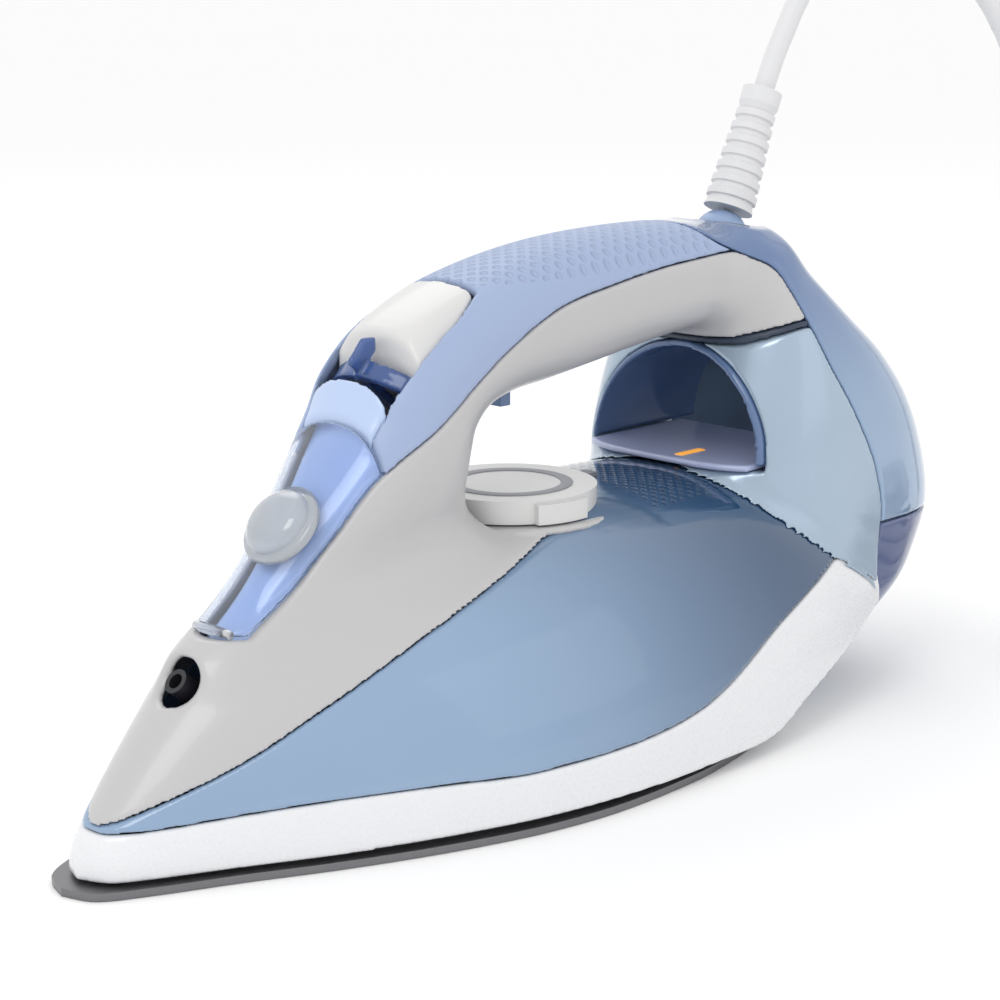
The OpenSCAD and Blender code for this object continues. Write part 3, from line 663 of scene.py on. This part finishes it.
def button_solid():
    """The spray button, hollow underneath for its spring."""
    sides = np.abs(Y) - 11.4 - np.clip((nose_crown() - Z) * 0.72, 0, 5.6)
    block = np.maximum(np.maximum(column - 0.8, sides), np.maximum(114.6 - X, X - 139.4))
    block = np.maximum(block, channel + 0.6)
    x, z = X - BUTTON_CENTRE[0], Z - BUTTON_CENTRE[1]
    v = z * math.cos(BUTTON_TILT) - x * math.sin(BUTTON_TILT)
    outer = kept(np.maximum(block, -v - 6), column - 0.8, 2.4)
    u = x * math.cos(BUTTON_TILT) + z * math.sin(BUTTON_TILT)
    hollow = np.maximum(np.maximum(np.abs(u - 4) - 5.9, np.abs(Y) - 5.9), np.maximum(v - 10.7, -v - 14))
    return carved(outer, hollow, 0.3)


def support_shell():
    """The rear support: solid, but for the tunnel and the body inside it."""
    region = np.maximum(-behind_seam, -over_seal + 2.2) + GAP
    region = np.maximum(region, side_field(232 - X2))
    solid = blended(housing, body, 9)
    outer = np.maximum(solid, -(body - 0.3))
    shape = kept(outer, region, 0.8)
    return carved(shape, tunnel - 2.2, 1.4)


def seal_strip():
    """The dark strip between the handle and the rear support."""
    region = np.maximum(np.maximum(over_seal - 2.0, -over_seal + 0.2), -behind_seam + GAP)
    region = np.maximum(region, side_field(238 - X2))
    return shell(top + 0.25, region, 3.0, 0.4)


def platform():
    """The tunnel's floor, bowed at the front."""
    front = 234.6 - X + 6.5 * (np.abs(Y) / 33) ** 4
    return kept(np.maximum(np.abs(Z - 81.4) - 1.0, X - 287), np.maximum(front, np.abs(Y) - 33.2), 0.8)


def liner():
    """The tunnel's lining."""
    ring = np.maximum(tunnel - 2.0, -tunnel)
    ring = np.maximum(np.maximum(ring, side_field(X2 - 296)), housing - 0.2)
    return kept(ring, side_field(82.2 - Z2), 0.6)


def cover_shell():
    """The rear cover, with its round opening at the back and the cord's well."""
    region = np.maximum(behind_seam + GAP, side_field(58 - Z2))
    wall = shell(top, region)
    exit_hole = np.sqrt((Y / 1.1) ** 2 + (Z - 94) ** 2) - 20
    wall = carved(wall, np.broadcast_to(np.maximum(exit_hole, 296 - X), COUNT), 1.4)
    return cord_well(wall)


def heel_shell():
    """The dark heel under the rear cover."""
    region = np.maximum(behind_seam + GAP, side_field(Z2 - 57.4))
    return shell(housing, region)


skirt_white = material("skirt_white", (0.76, 0.77, 0.79), 0.28, **{"Coat Weight": 0.3})
shell_grey = material("shell_grey", (0.50, 0.495, 0.50), 0.32, **{"Coat Weight": 0.25})
# Painted shade: the tank's colour darkens towards its rear, standing in for the deep tone and dark reflections
# of the tinted plastic.
tank_blue = material(
    "tank_blue", (0.27, 0.38, 0.54), 0.10, other=(0.20, 0.31, 0.47), broad=9,
    ramp=((1, 0, 0.35), -0.05, 0.10, (0.022, 0.065, 0.145)), pattern=dimples(0.0042, 0.03, 0.085, 0.0755),
    bump=0.8, **{"Coat Weight": 0.7, "Coat Roughness": 0.03})
handle_blue = material("handle_blue", (0.33, 0.41, 0.60), 0.42, pattern=dimples(0.0052, -0.03, 0.07, 0.1475),
                       bump=0.9)
door_blue = material("door_blue", (0.80, 0.87, 1.0), 0.04,
                     **{"Transmission Weight": 0.95, "IOR": 1.2, "Coat Weight": 0.6})
# Painted shade and light: the tray is darker towards the top of the door and fades to a light blue towards its
# lower front.
tray_blue = material("tray_blue", (0.42, 0.58, 0.93), 0.25, other=(0.55, 0.70, 0.97), broad=40,
                     ramp=((0.67, 0, 0.74), -0.02, -0.055, (0.72, 0.83, 0.99)), **{"Coat Weight": 0.5})
support_blue = material("support_blue", (0.36, 0.46, 0.57), 0.22, **{"Coat Weight": 0.8, "Metallic": 0.35})
liner_blue = material("liner_blue", (0.10, 0.17, 0.33), 0.2, **{"Coat Weight": 0.6})
# Painted shade: the cover darkens towards its top, round the cord's recessed well.
cover_blue = material("cover_blue", (0.27, 0.38, 0.54), 0.12,
                      ramp=((0, 0, 1), 0.09, 0.15, (0.12, 0.19, 0.36)),
                      **{"Coat Weight": 1.0, "Metallic": 0.25})
heel_blue = material("heel_blue", (0.09, 0.12, 0.25), 0.16, **{"Coat Weight": 0.8})

add(mesh_of("skirt_panel", skirt_shell()), skirt_white, "iron", "skirt_white", "skirt")
add(mesh_of("tank_wall", tank_shell()), tank_blue, "iron", "tank_blue", "water_tank")
add(mesh_of("grey_shell", upper_shell()), shell_grey, "iron", "shell_grey", "upper_shell")
add(mesh_of("handle_cap", handle_top_shell()), handle_blue, "iron", "handle_blue", "handle_top")
add(mesh_of("door_pane", door_pane(0.0, 1.7, 0.5)), door_blue, "door", "door_clear", "filler_door")
add(mesh_of("filler_tray", door_pane(4.6, 1.6, -5.0)), tray_blue, "iron", "tray_blue", "filler_funnel")
add(mesh_of("support_body", support_shell()), support_blue, "iron", "support_blue", "rear_support")
add(mesh_of("tunnel_liner", liner()), liner_blue, "iron", "liner_blue", "arch_liner")
add(mesh_of("platform_plate", platform()), material(
    "platform_blue", (0.42, 0.47, 0.68), 0.3, **{"Coat Weight": 0.4}), "iron", "platform_blue", "arch_platform")
add(mesh_of("cover_body", cover_shell()), cover_blue, "iron", "cover_blue", "rear_cover")
add(mesh_of("heel_body", heel_shell()), heel_blue, "iron", "heel_blue", "heel_cover")
add(mesh_of("band_face", band_shell()), material(
    "band_blue", (0.46, 0.57, 0.80), 0.3, **{"Coat Weight": 0.4}), "iron", "tray_blue", "symbol_band")
add(mesh_of("seal_strip", seal_strip()), material("seal_black", (0.03, 0.045, 0.075), 0.35),
    "iron", "seal_rubber", "support_seal")
add(mesh_of("lever_body", lever_ring()), material("lever_blue", (0.10, 0.19, 0.48), 0.08, **{
    "Transmission Weight": 0.55, "IOR": 1.35, "Coat Weight": 0.6}), "lever", "lever_blue", "steam_lever")
button_white = material("button_white", (0.66, 0.655, 0.65), 0.3, **{"Coat Weight": 0.3})
add(mesh_of("button_cap", button_solid()), button_white, "button", "button_white", "spray_button")

# ---------------------------------------------------------------- small parts
steel = material("steel", (0.62, 0.63, 0.65), 0.3, Metallic=1.0)
dress("soleplate", material("sole_grey", (0.20, 0.20, 0.21), 0.34, Metallic=0.9, grain=2600, bump=0.08),
      bevel=0.7)
alloy = material("alloy", (0.5, 0.5, 0.51), 0.5, Metallic=0.8, bump=0.3)
for name in ("heater_casting", "chamber_cover"):
    dress(name, alloy)
dress("heating_element", material("element", (0.2, 0.16, 0.14), 0.5, Metallic=0.7))
seal = material("seal", (0.03, 0.04, 0.06), 0.7)
for name in ("chamber_gasket", "filler_gasket", "cord_tie", "heel_feet"):
    dress(name, seal)
dress("thermostat", material("bimetal", (0.5, 0.38, 0.2), 0.4, Metallic=0.8))
resin = material("resin", (0.72, 0.72, 0.7), 0.5)
for name in ("thermostat_shaft", "dosing_rod", "dosing_valve", "terminal_block", "spray_pump", "boost_pump",
             "nozzle_hose", "pump_plunger"):
    dress(name, resin)
dress("heat_shield", material("heat_board", (0.05, 0.05, 0.06), 0.6))
dress("base_cover", skirt_white)
dress("tank_base", material("tank_floor", (0.2, 0.32, 0.48), 0.3))
for name in ("door_hinge_pin", "trigger_pin", "screws", "plug_pins"):
    dress(name, steel)
press_axis = (-math.sin(BUTTON_TILT), 0.0, math.cos(BUTTON_TILT))
button_run = np.array((math.cos(BUTTON_TILT), 0, math.sin(BUTTON_TILT)))
button_foot = np.array((BUTTON_CENTRE[0], 0.0, BUTTON_CENTRE[1])) + button_run * 4 - np.array(press_axis) * 5
coil_spring("button_coil", button_foot, press_axis, 5.0, 15.2, "button_spring")
coil_spring("trigger_coil", (163.0, 0.0, 130.0), (0.0, 0.0, -1.0), 2.7, 8.0,
            "trigger_spring")
PLUG_PROFILE = [(0, 4.6), (4, 4.5), (7.4, 3.8), (9.4, 2.4), (10.2, 0.9), (10.2, 0.2), (11.8, -0.1),
                (12.5, -0.9), (12.5, -2.4), (11.9, -2.9), (0, -2.9)]
plug_clear = material("plug_clear", (0.62, 0.66, 0.71), 0.12, **{
    "Transmission Weight": 0.45, "Coat Weight": 0.8})
add(turned("plug_dome", PLUG_PROFILE, (76.5, 0.0, 87.0), 47.8), plug_clear, "door", "door_clear", "filler_plug")
dress("temperature_dial", button_white, bevel=1.0)
ring_grey = material("ring_grey", (0.30, 0.31, 0.34), 0.5)
add(turned("dial_ring", [(15.5, 0.02), (15.5, 0.25), (19.2, 0.25), (19.2, 0.02), (15.5, 0.02)],
           (DIAL_X, 0.0, 84.0), 0), ring_grey, "dial", "pointer_grey")
dress("spray_nozzle", material("nozzle_black", (0.015, 0.015, 0.02), 0.4), bevel=0.3)
dress("trigger", material("trigger_blue", (0.16, 0.25, 0.45), 0.15, **{"Transmission Weight": 0.4}), bevel=0.8)
dress("dial_pointer", material("pointer_grey", (0.2, 0.21, 0.24), 0.5), bevel=0.3)
dress("indicator_lens", material("lens_amber", (0.9, 0.42, 0.05), 0.3, **{
    "Emission Color": (1.0, 0.42, 0.05), "Emission Strength": 0.6}), bevel=0.4)
dress("indicator_board", material("board_green", (0.05, 0.2, 0.08), 0.5))
dress("cord_ball", material("swivel_blue", (0.3, 0.4, 0.6), 0.35))
for name in ("strain_relief", "plug"):
    dress(name, cord_white, bevel=0.35)


# ---------------------------------------------------------------- studio
def studio():
    """A white floor, a white world and three area lamps."""
    bpy.ops.mesh.primitive_plane_add(size=60, location=(0.3, 0.3, -0.0002))
    floor = bpy.context.object
    floor.name = "floor"
    made = bpy.data.materials.new("floor")
    made.use_nodes = True
    shader = made.node_tree.nodes["Principled BSDF"]
    shader.inputs["Base Color"].default_value = (0.97, 0.97, 0.97, 1)
    shader.inputs["Roughness"].default_value = 0.7
    floor.data.materials.append(made)
    world = bpy.data.worlds.new("studio")
    world.use_nodes = True
    sky = world.node_tree.nodes["Background"]
    sky.inputs["Color"].default_value = (1, 1, 1, 1)
    sky.inputs["Strength"].default_value = 1.0
    bpy.context.scene.world = world
    bpy.context.scene.view_settings.view_transform = "Standard"
    lamps = (("key", (-0.9, -0.3, 1.1), 3.6, 0.6), ("fill", (0.5, -1.3, 0.6), 0.6, 0.9),
             ("back", (0.5, 0.9, 1.2), 2, 0.8))
    for name, place, power, size in lamps:
        data = bpy.data.lights.new(name, "AREA")
        data.energy = power
        data.size = size
        lamp = bpy.data.objects.new(name, data)
        lamp.location = place
        direction = np.array(place) - np.array((0, 0, 0.08))
        tilt = math.atan2(math.hypot(direction[0], direction[1]), direction[2])
        lamp.rotation_euler = (tilt, 0, math.atan2(direction[1], direction[0]) + math.pi / 2)
        bpy.context.collection.objects.link(lamp)


studio()
